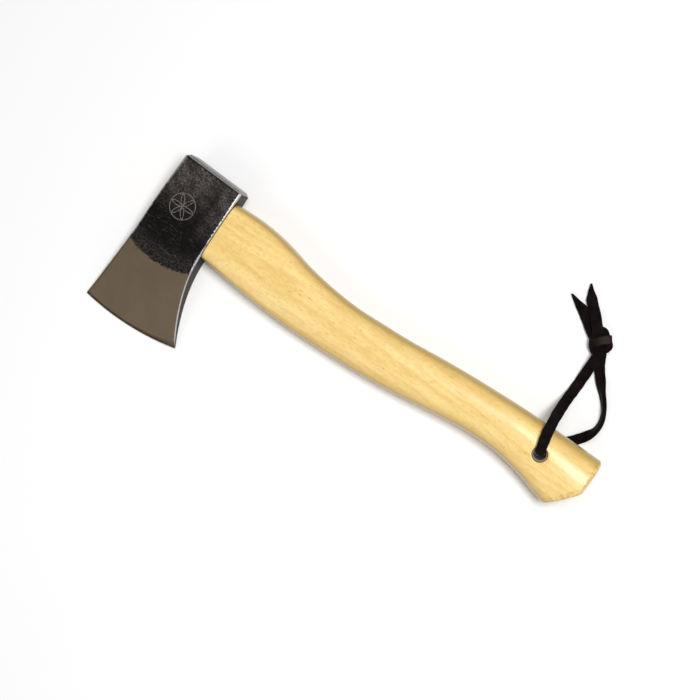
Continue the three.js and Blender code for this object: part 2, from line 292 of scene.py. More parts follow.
def store(mesh, layers):
    """Keeps numbers or vectors at the mesh's points, under names that the node trees read."""
    for name, values in layers.items():
        values = np.array(values, float)
        kind, field = ("FLOAT_VECTOR", "vector") if values.ndim == 2 else ("FLOAT", "value")
        mesh.attributes.new(name, kind, "POINT").data.foreach_set(field, values.ravel())


def sweep_thong(name, route, lay, width, taper=None, spacing=0.7):
    """A thong along a route in millimetres. lay gives, at shares of its length, which way its width lies,
    or is None where it lies flat; taper gives its width near its tip, and the shift towards one edge."""
    path = smooth_route(route, spacing)
    ahead = np.gradient(path, axis=0)
    ahead /= np.linalg.norm(ahead, axis=1)[:, None]
    shares = np.linspace(0, 1, len(path))
    if lay:
        keys = np.array([k for k, _ in lay], float)
        sides = np.stack([np.interp(shares, keys, [d[i] for _, d in lay]) for i in range(3)], axis=1)
    else:
        sides = np.cross(ahead, (0, 0, 1))
    sides -= ahead * np.sum(sides * ahead, axis=1)[:, None]
    sides /= np.linalg.norm(sides, axis=1)[:, None]
    flats = np.cross(sides, ahead)
    widths = np.full(len(path), width)
    offsets = np.zeros(len(path))
    if taper:
        left = (1 - shares) * (len(path) - 1) * spacing
        for i, rest in enumerate(left):
            widths[i], offsets[i] = taper(rest)
    reach = widths / 2 + abs(offsets) + EDGE_ROOM
    lowest = abs(sides[:, 2]) * reach + abs(flats[:, 2]) * THONG_THICKNESS / 2 + FLOOR_GAP
    path[:, 2] = np.maximum(path[:, 2], lowest)
    uneven = np.array([noise.noise(Vector(p) * 0.25) * EDGE_WAVER for p in path])
    near = (offsets - widths / 2 - uneven) * MM
    far = (offsets + widths / 2 - uneven[::-1]) * MM
    links = [(i, i + 1) for i in range(len(path) - 1)]
    obj = plain_mesh(name, path * MM, [], links)
    layers = {"flat": flats, "side": sides, "spine": path * MM, "near_edge": near, "far_edge": far}
    store(obj.data, layers)
    sweep = obj.modifiers.new("sweep", "NODES")
    sweep.node_group = thong_tree
    sizes = {
        "Width": width * MM,
        "Thickness": THONG_THICKNESS * MM,
        "Corner": THONG_CORNER * MM,
        "Leather": leather,
    }
    for socket in thong_tree.interface.items_tree:
        if socket.name in sizes:
            sweep[socket.identifier] = sizes[socket.name]
    finished_mesh(obj)
    return obj, path * MM


def thong_end(tip_length, slant, full_width):
    """The width of a strand at a distance from its tip: squeezed in the hole, and cut to a point at the
    tip over tip_length, with the cut shifted towards one edge by slant."""

    def at(rest):
        grown = clamp((FREE_LENGTH - rest) / WIDENING)
        full = THONG_WIDTH + (full_width - THONG_WIDTH) * grown
        cut_share = min(1.0, rest / tip_length)
        width = TIP_WIDTH + (full - TIP_WIDTH) * cut_share
        return width, slant * (full - width) / 2

    return at


FRONT_LAY = [
    (0, (1, 0, 0)), (0.35, (1, 0.02, 0)), (0.62, (1, 0.02, 0)), (0.74, (0.9, 0.42, 0)),
    (0.8, (0.82, 0.57, 0)), (0.9, (0.76, 0.65, 0)), (1, (0.75, 0.66, 0)),
]
BACK_LAY = [
    (0, (1, 0, 0)), (0.1, (0.83, -0.56, 0)), (0.28, (0.78, -0.62, 0.1)), (0.35, (0.4, -0.25, 1.4)),
    (0.44, (0.06, 0.02, 1.6)), (0.52, (0.3, 0.2, 1.3)), (0.6, (0.76, 0.62, 0.12)), (0.7, (0.8, 0.58, 0)),
    (0.8, (0.6, 0.8, 0)), (1, (0.5, 0.86, 0)),
]
front_strand, front_path = sweep_thong(
    "lanyard_front", FRONT_ROUTE, FRONT_LAY, THONG_WIDTH, thong_end(9.5, 0.2, FRONT_WIDTH)
)
back_strand, back_path = sweep_thong(
    "lanyard_back", BACK_ROUTE, BACK_LAY, THONG_WIDTH, thong_end(11.0, -0.95, BACK_WIDTH)
)
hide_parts("lanyard_front_strand", "lanyard_right_tail")
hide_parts("lanyard_back_strand", "lanyard_left_tail")


# --- lanyard knot --------------------------------------------------------------------------------------
# A plain overhand knot pulled tight in both strands together, lying on the floor. The wrap crosses over the
# two strands. One turn of the thong shows on the right of it, from its top down past it, and another comes
# out from under it on the left.
KNOT_CENTRE = np.array([121.3, 109.4, 5.1])
KNOT_ACROSS = np.array([0.815, 0.579, 0])
KNOT_ALONG = np.array([-0.579, 0.815, 0])
KNOT_UP = np.array([0, 0, 1])
WRAP_REACH = (6.15, 3.7)
WRAP_WIDTH = 5.6
SIDE_TURN_WIDTH = 4.9
UNDER_TURN_WIDTH = 4.4


def in_knot(across, along, up):
    return KNOT_CENTRE + across * KNOT_ACROSS + along * KNOT_ALONG + up * KNOT_UP


def band_rise(across):
    """How far along the knot the middle of the wrap lies: it slopes down to the left."""
    return -0.9 + 0.3 * min(across, 0) + 0.12 * max(across, 0)


wrap = []
for step in range(15):
    angle = math.radians(-125 + step * 30)
    across = 0.5 + WRAP_REACH[0] * math.cos(angle)
    wrap.append(in_knot(across, band_rise(across) - 0.1 * (step - 7), WRAP_REACH[1] * math.sin(angle)))
knot, _ = sweep_thong("wrap", wrap, [(0, KNOT_ALONG), (1, KNOT_ALONG)], WRAP_WIDTH)
turn = [
    in_knot(-2.5, 6.0, -3.2), in_knot(0.6, 6.1, -2.3), in_knot(2.8, 5.7, -0.7), in_knot(4.0, 3.0, -0.2),
    in_knot(4.2, 0.2, -0.6), in_knot(5.8, -3.4, 0.1), in_knot(4.5, -5.6, -0.6), in_knot(1.8, -6.4, -2.4),
    in_knot(-1.5, -5.8, -3.2),
]
side_turn, _ = sweep_thong("turn", turn, None, SIDE_TURN_WIDTH, spacing=0.5)
under_turn = [
    in_knot(-3.2, 2.4, -0.8), in_knot(-4.3, -0.4, -0.6), in_knot(-4.5, -2.8, -0.6), in_knot(-3.9, -5.8, -0.9),
    in_knot(-2.4, -8.4, -1.6), in_knot(0.4, -10.0, -2.7),
]
low_turn, _ = sweep_thong("under_turn", under_turn, None, UNDER_TURN_WIDTH, spacing=0.5)
gathered = bmesh.new()
for piece in (knot, side_turn, low_turn):
    gathered.from_mesh(piece.data)
gathered.to_mesh(knot.data)
gathered.free()
for piece in (side_turn, low_turn):
    bpy.data.objects.remove(piece)
press = knot.modifiers.new("pressed together", "REMESH")
press.mode = "VOXEL"
press.voxel_size = 0.3 * MM
finished_mesh(knot)
soften = knot.modifiers.new("soften", "SMOOTH")
soften.factor = 0.6
soften.iterations = 3
finished_mesh(knot)
for vertex in knot.data.vertices:
    crease = 0.16 * noise.noise(vertex.co * 320) + 0.1 * noise.noise(vertex.co * 900)
    vertex.co += vertex.normal * crease * MM
    vertex.co.z = max(vertex.co.z, FLOOR_GAP * MM)


def sheen_on_knot(vertex):
    """How much the knot is painted lighter as a sheen at a point: most on the wrap's top, less towards its
    left.
    """
    from_centre = np.array(vertex.co) / MM - KNOT_CENTRE
    across = from_centre @ KNOT_ACROSS
    beside = abs(from_centre @ KNOT_ALONG - band_rise(across))
    on_band = clamp((2.7 - beside) / 0.7) * clamp(vertex.normal.z * 1.6 - 0.2)
    sheen_end = clamp((7.4 - across) / 2.4)
    return on_band * sheen_end * (0.6 + 0.4 * clamp(across / 3, -1.0))


def cover(obj, material):
    """Gives the piece its one material."""
    obj.data.materials.clear()
    obj.data.materials.append(material)


# the painted sheen on the wrap's top, kept at its points
store(knot.data, {"knot_sheen": [sheen_on_knot(vertex) for vertex in knot.data.vertices]})
cover(knot, leather)
knot.name = "lanyard_knot_wrap"
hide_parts("lanyard_knot")
for piece in (front_strand, back_strand, knot):
    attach(piece, "root")


# --- head ----------------------------------------------------------------------------------------------
# Drop-forged steel: parallel cheeks round the eye, then flat cheeks down to a curved bit. It is dipped in
# a black finish, and the bit is then ground bare. The eye runs through it from the toe to the heel face.
TOOL_PLACE = Vector((-136.4, 25.9, 13.06)) * MM
TOOL_ROLL = math.radians(8.2)
TOOL_PITCH = math.radians(-0.5)
TOOL = (
    Matrix.Translation(TOOL_PLACE)
    @ Matrix.Rotation(TOOL_PITCH, 4, "Y")
    @ Matrix.Rotation(TOOL_ROLL, 4, "X")
    @ Matrix.Scale(MM, 4)
)
TOE_X = -21.4
HEEL_X = 22.4
POLL_Y = 30.6
POLL_SLOPE = 1.2
POLL_CHAMFER = 2.2
POLL_CROWN = 0.25
EDGE_TOE = np.array([-29.2, -82.8])
EDGE_HEEL = np.array([40, -78.4])
EDGE_RADIUS = 175
EDGE_BEVEL = 0.5
CHEEK_LEVELS = [-88, -86, -5, 12, 30.6]       # from below the edge up to the poll
CHEEK_HALVES = [0.12, 0.4, 12, 12, 11.25]     # half the thickness at each
CHEEK_CROWN = 0.22
RIM_ROUND = 1.3
FORGED_WAVER = 0.09
EYE_DEPTH = 37
EYE_WIDTH = 15.6
EYE_TOE_GROWTH = 1.07
DRIFT_ENDS = (-30, HEEL_X + 7)


def bend(points, t):
    """A point on the curve of one, two or three handles from the first point to the last."""
    points = [np.array(p, float) for p in points]
    while len(points) > 1:
        points = [a + (b - a) * t for a, b in zip(points, points[1:])]
    return points[0]


beard = (TOE_X - 2.2, -28)
toe_side = [bend([EDGE_TOE, (TOE_X - 4, -48), beard], t) for t in np.linspace(0, 1, 40)]
toe_side += [bend([beard, (TOE_X - 0.8, 4), (TOE_X, POLL_Y)], t) for t in np.linspace(0.02, 1, 40)]
toe_side = np.array(toe_side)
heel_bend = [(HEEL_X, -20), (HEEL_X - 0.3, -38), (28.6, -58), EDGE_HEEL]
heel_side = [bend(heel_bend, t) for t in np.linspace(1, 0, 60)] + [np.array([HEEL_X, POLL_Y])]
heel_side = np.array(heel_side)
chord = EDGE_HEEL - EDGE_TOE
edge_reach = math.sqrt(EDGE_RADIUS**2 - chord @ chord / 4)
edge_centre = EDGE_TOE + chord / 2 + np.array([-chord[1], chord[0]]) / np.linalg.norm(chord) * edge_reach


def toe_x(y):
    return np.interp(y, toe_side[:, 1], toe_side[:, 0])


def heel_x(y):
    return np.interp(y, heel_side[:, 1], heel_side[:, 0])


def cheek_height(x, y):
    """Half the thickness of the head at a point of its side view."""
    spread = (-7, -4.5, -2, 0, 2, 4.5, 7)
    soft = np.mean([np.interp(y + d, CHEEK_LEVELS, CHEEK_HALVES) for d in spread])
    body = soft if y > -60 else np.interp(y, CHEEK_LEVELS, CHEEK_HALVES)
    middle = (toe_x(y) + heel_x(y)) / 2
    body -= CHEEK_CROWN * min(1, abs(x - middle) / 24) ** 2 * min(1, body / 6)
    bevel = EDGE_BEVEL * max(0.0, EDGE_RADIUS - math.hypot(x - edge_centre[0], y - edge_centre[1]))
    return min(body, bevel)


def ease(t):
    """A share of 0 to 1 with a soft start and end."""
    t = clamp(t)
    return t * t * (3 - 2 * t)


def head_point(share, level):
    """A point of the side view: share runs from toe to heel, level from the poll to the edge."""
    y_toe = POLL_Y + (EDGE_TOE[1] - POLL_Y) * level
    y_heel = POLL_Y - POLL_SLOPE + (EDGE_HEEL[1] - POLL_Y + POLL_SLOPE) * level
    x = toe_x(y_toe) + (heel_x(y_heel) - toe_x(y_toe)) * share
    y = y_toe + (y_heel - y_toe) * share
    x_edge = EDGE_TOE[0] + chord[0] * share
    y_edge = edge_centre[1] - math.sqrt(EDGE_RADIUS**2 - (x_edge - edge_centre[0]) ** 2)
    sag = y_edge - (EDGE_TOE[1] + chord[1] * share)
    return x, y + sag * ease((level - 0.25) / 0.6)


CHEEK_STEPS = 56
SIDE_STEPS = 14
ROUND_STEPS = 5
levels = list(np.linspace(0.026, 0.975, 92)) + [0.98, 0.983, 0.986, 0.989, 0.992, 0.995, 0.998, 1.0]


def head_ring(level, inset, drop):
    """Once round the head at one level: upper cheek, heel, lower cheek, toe."""
    ring = []
    for sign in (1, -1):
        for share in np.linspace(0, 1, CHEEK_STEPS + 1)[::sign]:
            x, y = head_point(share, level)
            half = cheek_height(x, y)
            rim = min(RIM_ROUND, half * 0.5)
            ring.append((x + (0.5 - share) * 2 * (rim + inset), y + drop, sign * (half - inset)))
        x, y = head_point(1 if sign > 0 else 0, level)
        half = cheek_height(x, y)
        rim = min(RIM_ROUND, half * 0.5)
        corner = []
        for step in range(1, ROUND_STEPS + 1):
            angle = math.pi / 2 * step / ROUND_STEPS
            x_rim = x - sign * (rim * (1 - math.sin(angle)) + inset)
            corner.append((x_rim, half - inset - rim * (1 - math.cos(angle))))
        ring += [(x_rim, y + drop, sign * z) for x_rim, z in corner]
        for step in range(1, SIDE_STEPS):
            z = (half - inset - rim) * (1 - 2 * step / SIDE_STEPS)
            ring.append((x - sign * inset, y + drop, sign * z))
        ring += [(x_rim, y + drop, -sign * z) for x_rim, z in corner[::-1]]
    return ring


def stack_rings(rings, closed=False, capped=False):
    """Quads between rings that each hold the same number of points, in a loop or with flat ends."""
    count = len(rings[0])
    points = [p for ring in rings for p in ring]
    faces = []
    for r in range(len(rings) - 1 + closed):
        low = r * count
        high = (r + 1) % len(rings) * count
        for i in range(count):
            j = (i + 1) % count
            faces.append((low + i, low + j, high + j, high + i))
    if capped:
        faces.append(tuple(range(count))[::-1])
        faces.append(tuple(range(len(points) - count, len(points))))
    return points, faces


rings = []
poll_profile = [(0.35, 0), (0.1, 0.05), (-0.12, 0.2), (-1.1, 1.1), (-2.0, 2.08), (-2.15, 2.3), (-2.2, 2.6)]
poll_rim = head_ring(levels[0], POLL_CHAMFER + poll_profile[0][0], 0)
poll_top = POLL_Y - head_point(0, levels[0])[1]
for share in (0.0, 0.12, 0.35, 0.65, 0.9):
    ring = []
    for x, y, z in poll_rim:
        x_core = clamp(x, TOE_X + 10, HEEL_X - 10)
        crown = POLL_CROWN * (1 - share**2)
        ring.append((x_core + (x - x_core) * share, y + poll_top + crown - POLL_CROWN, z * share))
    rings.append(ring)
for out, down in poll_profile:
    fall = POLL_CROWN if out > 0 else down
    rings.append(head_ring(levels[0], POLL_CHAMFER + out, poll_top - fall))
for level in levels[1:]:
    rings.append(head_ring(level, 0, 0))
points, faces = stack_rings(rings)
head = plain_mesh("head_forging", points, faces)


def full_turn(count):
    return [2 * math.pi * i / count for i in range(count)]


def eye_radii(x, gap=0.0):
    from_heel = (HEEL_X + 1 - x) / (HEEL_X + 1 - DRIFT_ENDS[0])
    grown = 1 + (EYE_TOE_GROWTH - 1) * from_heel
    return EYE_DEPTH / 2 * grown - gap, EYE_WIDTH / 2 * grown - gap


def eye_drift():
    """The oval taper that is driven through the head to open its eye."""
    rings = []
    for x in DRIFT_ENDS:
        deep, wide = eye_radii(x)
        rings.append([(x, deep * math.cos(a), wide * math.sin(a)) for a in full_turn(96)])
    return stack_rings(rings, capped=True)


def cut(obj, points, faces):
    """Takes a closed shape out of the piece."""
    tool = plain_mesh("cutter", points, faces)
    merge_points(tool.data)
    boolean = obj.modifiers.new("cut", "BOOLEAN")
    boolean.object = tool
    boolean.operation = "DIFFERENCE"
    boolean.solver = "EXACT"
    finished_mesh(obj)
    bpy.data.objects.remove(tool)


finished_mesh(head)
cut(head, *eye_drift())


def place_tool(obj):
    """Lays a piece drawn in the tool's own millimetres down in its place."""
    obj.data.transform(TOOL)
    merge_points(obj.data, distance=2e-6)
    obj.data.set_sharp_from_angle(angle=math.radians(38))
    return obj


def mark_surfaces(mesh):
    """For each point, how near the rims it is, 0.6 on them, and whether it is on a ground cheek."""
    rims, cheeks = [], []
    for vertex in mesh.vertices:
        x, y, z = vertex.co
        half = cheek_height(x, y)
        rim_round = max(0.05, min(RIM_ROUND, half * 0.5))
        depths = [
            max(0.0, half - abs(z)),
            max(0.0, min(x - toe_x(y), heel_x(y) - x)),
            max(0.0, POLL_Y - POLL_SLOPE * (x - TOE_X) / (HEEL_X - TOE_X) - y),
        ]
        cheeks.append(1.0 if depths[0] < 0.5 * rim_round else 0.0)
        rims.append(sum(sorted(depths)[:2]) / rim_round)
    store(mesh, {"rim": rims, "cheek": cheeks})


mark_surfaces(head.data)
for vertex in head.data.vertices:
    x, y, z = vertex.co
    rise = FORGED_WAVER * noise.fractal(Vector((x, y, z)) * 0.11, 1.0, 2.0, 3)
    fade = clamp((y + 40) / 12) * min(1, abs(z) / 9)
    vertex.co.z += math.copysign(1, z) * rise * fade
place_tool(head)


def tool_coordinates(tree):
    """Millimetres in the tool's own frame, for patterns that belong to the tool."""
    place = tree.nodes.new("ShaderNodeTexCoord").outputs["Object"]
    lie = {
        "Vector": place,
        "Location": TOOL_PLACE,
        "Rotation": (TOOL_ROLL, TOOL_PITCH, 0),
        "Scale": (MM, MM, MM),
    }
    return add_node(tree, "ShaderNodeMapping", lie, vector_type="TEXTURE").outputs["Vector"]


def stretched(tree, vector, scale):
    return add_node(tree, "ShaderNodeMapping", {"Vector": vector, "Scale": scale}).outputs["Vector"]


def length_of(tree, a, b):
    """The length of a line that goes a one way and b across it."""
    return calc(tree, "SQRT", plus(tree, times(tree, a, a), times(tree, b, b)))


def ramp(tree, value, low, high, to_low=0.0, to_high=1.0):
    """The value eased from to_low at low to to_high at high."""
    inputs = {"Value": value, "From Min": low, "From Max": high, "To Min": to_low, "To Max": to_high}
    return add_node(tree, "ShaderNodeMapRange", inputs, interpolation_type="SMOOTHSTEP").outputs["Result"]


MARK_CENTRE = (-4.5, 0.5)
MARK_RADIUS = 8.5
MARK_LINE = 0.3
FINISH_CENTRE = (-4, 21)
FINISH_RADIUS = 60.1


def rosette_lines(tree, x, y):
    """The compass-drawn rosette of six petals in a ring that is scribed on the cheek: 1 on its lines."""
    dx = minus(tree, x, MARK_CENTRE[0])
    dy = minus(tree, y, MARK_CENTRE[1])
    radius = length_of(tree, dx, dy)
    turn = calc(tree, "PINGPONG", calc(tree, "ARCTAN2", dy, dx), math.pi / 6)
    swing = calc(tree, "COSINE", plus(tree, turn, math.pi / 3))
    reach = times(tree, times(tree, radius, swing), 2 * MARK_RADIUS)
    squared = plus(tree, times(tree, radius, radius), MARK_RADIUS**2)
    to_petal = calc(tree, "SQRT", minus(tree, squared, reach))
    petal = calc(tree, "ABSOLUTE", minus(tree, to_petal, MARK_RADIUS))
    petal = plus(tree, petal, ramp(tree, radius, MARK_RADIUS, MARK_RADIUS + 0.2, 0, 5))
    ring = calc(tree, "ABSOLUTE", minus(tree, radius, MARK_RADIUS))
    return ramp(tree, calc(tree, "MINIMUM", petal, ring), MARK_LINE * 0.5, MARK_LINE * 1.1, 1, 0)


def ground_bit(tree, place, lines):
    """The bare steel: fine lines from toe to heel, browner patches, and a dark line of painted shade along
    the crease of the edge bevel.
    """
    steel = mixed(tree, ramp(tree, lines, 0.3, 0.7), (0.160, 0.121, 0.080), (0.205, 0.158, 0.107))
    stain = ramp(tree, speckle(tree, place, 0.07, 4, 0.6), 0.35, 0.7, 0, 0.5)
    steel = mixed(tree, stain, steel, (0.150, 0.113, 0.076))
    # painted shade in the crease where the edge bevel meets the cheek
    from_centre = vector_calc(tree, "DISTANCE", place, (*edge_centre, 0))
    to_edge = minus(tree, EDGE_RADIUS, from_centre)
    crease = times(tree, ramp(tree, to_edge, 2.0, 1.3), ramp(tree, to_edge, 0.2, 0.7))
    crease = times(tree, crease, ramp(tree, speckle(tree, place, 0.3, 3, 0.6), 0.3, 0.6, 0.35, 1))
    return mixed(tree, times(tree, crease, 0.75), steel, (0.045, 0.030, 0.020))


def rim_wear_and_highlight(tree, place, x, y, below):
    """Where the rims are painted near white: bare of the black finish, and lit as a painted highlight, most
    of all on the heel side and in a thin line on the bit.
    """
    rim = attribute(tree, "rim")
    ragged_rim = plus(tree, rim, times(tree, speckle(tree, place, 0.7, 4, 0.7), -1.3))
    ragged_rim = minus(tree, ragged_rim, ramp(tree, y, 6, 26, 0, 0.3))
    pale_sheen = times(tree, ramp(tree, ragged_rim, 0.26, 0.02), minus(tree, 1, below))
    thin = times(tree, ramp(tree, rim, 0.76, 0.63), times(tree, below, 0.9))
    return times(tree, calc(tree, "MAXIMUM", pale_sheen, thin), ramp(tree, x, 5, 18, 0.25, 1))


def make_coated_steel():
    material, tree, shader = new_material("coated_steel")
    place = tool_coordinates(tree)
    parts = add_node(tree, "ShaderNodeSeparateXYZ", {"Vector": place}).outputs
    x, y, z = parts["X"], parts["Y"], parts["Z"]

    # where the black finish stops: a ragged arc below the eye
    reach = length_of(tree, minus(tree, x, FINISH_CENTRE[0]), minus(tree, y, FINISH_CENTRE[1]))
    ragged = times(tree, minus(tree, speckle(tree, place, 0.42, 5, 0.7), 0.5), 5.5)
    bare = ramp(tree, plus(tree, reach, ragged), FINISH_RADIUS - 0.7, FINISH_RADIUS + 0.7)
    bare = times(tree, bare, attribute(tree, "cheek"))
    coated = minus(tree, 1, bare)

    # the black finish: pebbled, with a painted grey sheen towards the poll and painted glints on its pebbles
    # near the bit, pale nicks and the scribed rosette
    pebble = speckle(tree, place, 0.85, 5, 0.75)
    broad = speckle(tree, place, 0.13, 4, 0.6)
    toe_sheen = times(tree, ramp(tree, y, -12, 26), ramp(tree, x, 12, -18, 0.45, 1))
    heel_sheen = times(tree, ramp(tree, y, -16, 8), ramp(tree, x, 4, 20, 0, 0.75))
    painted_sheen = calc(tree, "MAXIMUM", toe_sheen, heel_sheen)
    painted_sheen = times(tree, painted_sheen, ramp(tree, broad, 0.34, 0.62, 0.4, 1.2))
    painted_sheen = times(tree, painted_sheen, ramp(tree, pebble, 0.36, 0.66, 0.1, 1.7))
    # painted glints: pale flecks on the pebbles near where the finish stops
    low_glints = times(tree, ramp(tree, reach, 44, 56), ramp(tree, pebble, 0.42, 0.66, 0, 0.45))
    painted_sheen = calc(tree, "MAXIMUM", painted_sheen, low_glints)
    from_poll = plus(tree, y, times(tree, x, POLL_SLOPE / (HEEL_X - TOE_X)))
    painted_sheen = times(tree, painted_sheen, ramp(tree, from_poll, POLL_Y - 2.6, POLL_Y - 3.6))
    black = mixed(tree, painted_sheen, (0.0016, 0.0006, 0.0006), (0.095, 0.082, 0.075))
    nicks = ramp(tree, speckle(tree, place, 0.9, 3, 0.62), 0.58, 0.70)
    slant = {"Vector": stretched(tree, place, (0.25, 2.6, 1)), "Rotation": (0, 0, 0.5)}
    slanted = add_node(tree, "ShaderNodeMapping", slant).outputs["Vector"]
    scratches = ramp(tree, speckle(tree, slanted, 1.0, 2, 0.5), 0.62, 0.71, 0, 0.75)
    marks = calc(tree, "MAXIMUM", times(tree, nicks, 0.45), scratches)
    marks = times(tree, marks, ramp(tree, broad, 0.3, 0.6, 0.3, 1))
    black = mixed(tree, marks, black, (0.075, 0.066, 0.06))
    mark = times(tree, rosette_lines(tree, x, y), ramp(tree, z, 0, 2))
    mark = times(tree, mark, ramp(tree, speckle(tree, place, 1.3, 3, 0.6), 0.36, 0.52))
    black = mixed(tree, mark, black, (0.24, 0.215, 0.20))

    # the poll and its chamfer are painted pale grey as a reflection on the black finish
    poll = ramp(tree, from_poll, POLL_Y - 2.45, POLL_Y - 2.15)
    pale_sheen = mixed(tree, ramp(tree, pebble, 0.35, 0.65), (0.27, 0.25, 0.255), (0.46, 0.44, 0.44))
    black = mixed(tree, times(tree, poll, 0.9), black, pale_sheen)

    lines = speckle(tree, stretched(tree, place, (0.12, 2.6, 1)), 2.2, 4, 0.65)
    steel = ground_bit(tree, place, lines)
    # rims painted near white: a painted highlight on steel bared at the rims
    sheen_mask = rim_wear_and_highlight(tree, place, x, y, ramp(tree, reach, 57, 60))
    metal = calc(tree, "MAXIMUM", calc(tree, "MAXIMUM", bare, sheen_mask), times(tree, mark, 0.7))
    dull = plus(tree, ramp(tree, pebble, 0.3, 0.7, 0.36, 0.58), times(tree, painted_sheen, 0.12))
    rough = {"Factor": bare, "A": dull, "B": ramp(tree, lines, 0.3, 0.7, 0.42, 0.56)}
    coat_height = plus(tree, times(tree, coated, times(tree, pebble, 1.3)), times(tree, coated, 0.35))
    coat_height = minus(tree, coat_height, times(tree, mark, 0.7))
    height = plus(tree, coat_height, times(tree, lines, 0.12))
    finish = {
        "Base Color": mixed(tree, sheen_mask, mixed(tree, bare, black, steel), (0.85, 0.83, 0.82)),
        "Metallic": calc(tree, "MAXIMUM", metal, times(tree, poll, 0.6)),
        "Roughness": add_node(tree, "ShaderNodeMix", rough, data_type="FLOAT").outputs[0],
        "Specular IOR Level": 0.11,
        "Normal": bump(tree, height, 0.5, 0.00012),
    }
    set_inputs(tree, shader, finish)
    return material


cover(head, make_coated_steel())
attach(head, "root")
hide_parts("head")


# --- handle --------------------------------------------------------------------------------------------
# Straight-grained pale hardwood, turned on a copying lathe to a swelling oval section and sanded, with a
# sloped cut under the butt and a drilled hole for the thong. It is lacquered clear all over.
GAP = 0.3
SHOULDER_X = HEEL_X + GAP
STATION_STEP = 20
UPPER_EDGE = [20.9, 21.4, 19.4, 15.1, 12.4, 11.3, 12.2, 13.5, 15.7, 17.6, 18.9, 20, 20.5, 20.6, 20.6]
LOWER_EDGE = [
    -20.3, -22.2, -23.8, -24.7, -24.8, -24, -22.7, -20.8, -18, -14.9, -12.5, -12.3, -15.3, -20.6, -25,
]
HALF_THICKNESS = [11.4, 11.4, 11.3, 11.1, 10.8, 10.6, 10.6, 10.7, 10.9, 11.1, 11.3, 11.6, 12, 12.9, 13.2]
BUTT_X = 301.8
BUTT_ROUND = 2.6
FOOT_CORNER = (299.8, -4.6)
FOOT_ANGLE = math.radians(52)
FOOT_BLEND = 1.2
SQUARENESS = 2.25
SHOULDER_SQUARENESS = 4.2
SQUARE_LENGTH = 95
HOLE_PLACE = (267, 3.4)
HOLE_RADIUS = 4
HOLE_LIP = 2.2
TENON_TOP = -21.9
TENON_BEVEL = 0.3
SHOULDER_ROUND = 0.45
BUTT_CROWN = 0.25
HANDLE_RINGS = 230
RING_POINTS = 88


def station_curve(values):
    """A smooth curve through values set every STATION_STEP from the shoulder."""
    padded = np.array([values[0], *values, values[-1]], float)
    span = len(values) - 1

    def at(x):
        where = clamp((x - SHOULDER_X) / STATION_STEP, 0, span)
        i = min(int(where), span - 1)
        return curve_between(*padded[i : i + 4], where - i)

    return at


upper_edge = station_curve(UPPER_EDGE)
lower_edge = station_curve(LOWER_EDGE)
half_thickness = station_curve(HALF_THICKNESS)


def section_point(x, angle, inset=0.0, scale=1.0):
    """A point on the oval section at x, drawn in by inset."""
    middle = (upper_edge(x) + lower_edge(x)) / 2
    deep = (upper_edge(x) - lower_edge(x)) / 2 - inset
    wide = half_thickness(x) - inset
    rounded = ease((x - SHOULDER_X) / SQUARE_LENGTH)
    power = 2 / (SHOULDER_SQUARENESS + (SQUARENESS - SHOULDER_SQUARENESS) * rounded)
    y = math.copysign(abs(math.cos(angle)) ** power, math.cos(angle)) * deep * scale
    z = math.copysign(abs(math.sin(angle)) ** power, math.sin(angle)) * wide * scale
    return middle + y, z


def end_x(y):
    """Where the butt face or the sloped cut under it stops the handle at this height."""
    slope = math.tan(math.pi / 2 - FOOT_ANGLE)
    foot = FOOT_CORNER[0] + (y - FOOT_CORNER[1]) * slope
    gap = BUTT_X - foot
    return (BUTT_X + foot) / 2 - math.sqrt(gap * gap + FOOT_BLEND) / 2


def butt_point(angle, inset, back, scale=1.0):
    """A point near the butt, the given distance back from its end faces."""
    x = BUTT_X
    for _ in range(5):
        y, z = section_point(x, angle, inset, scale)
        x = end_x(y) - back
    return x, y, z


turns = full_turn(RING_POINTS)
tenon_turns = [(math.cos(a), math.sin(a)) for a in turns]
top_deep, top_wide = eye_radii(TENON_TOP, GAP)
rings = []
for share in (0.0, 0.35, 0.7, 0.985, 1.0):
    x = TENON_TOP + (TENON_BEVEL if share == 1 else 0)
    rings.append([(x, c * top_deep * share, s * top_wide * share) for c, s in tenon_turns])
for x in np.linspace(TENON_TOP + TENON_BEVEL, SHOULDER_X, 13)[1:]:
    deep, wide = eye_radii(x, GAP)
    rings.append([(x, c * deep, s * wide) for c, s in tenon_turns])
for inset, push in ((1.0, 0.0), (0.35, 0.0), (0.08, 0.15), (0.0, SHOULDER_ROUND)):
    rings.append([(SHOULDER_X + push, *section_point(SHOULDER_X, a, inset)) for a in turns])
ends = [butt_point(a, 0, BUTT_ROUND)[0] for a in turns]
for step in range(1, HANDLE_RINGS + 1):
    ring = []
    for a, stop in zip(turns, ends):
        start = SHOULDER_X + SHOULDER_ROUND
        x = start + (stop - start) * step / HANDLE_RINGS
        ring.append((x, *section_point(x, a)))
    rings.append(ring)
for step in range(1, 9):
    angle = math.pi / 2 * step / 8
    inset = BUTT_ROUND * (1 - math.cos(angle))
    rings.append([butt_point(a, inset, BUTT_ROUND * (1 - math.sin(angle))) for a in turns])
for scale in (0.97, 0.9, 0.8, 0.68, 0.55, 0.42, 0.3, 0.18, 0.08, 0.0):
    rings.append([butt_point(a, BUTT_ROUND, -BUTT_CROWN * (1 - scale**2), scale) for a in turns])
points, faces = stack_rings(rings)
handle = plain_mesh("handle_shaft", points, faces)
finished_mesh(handle)


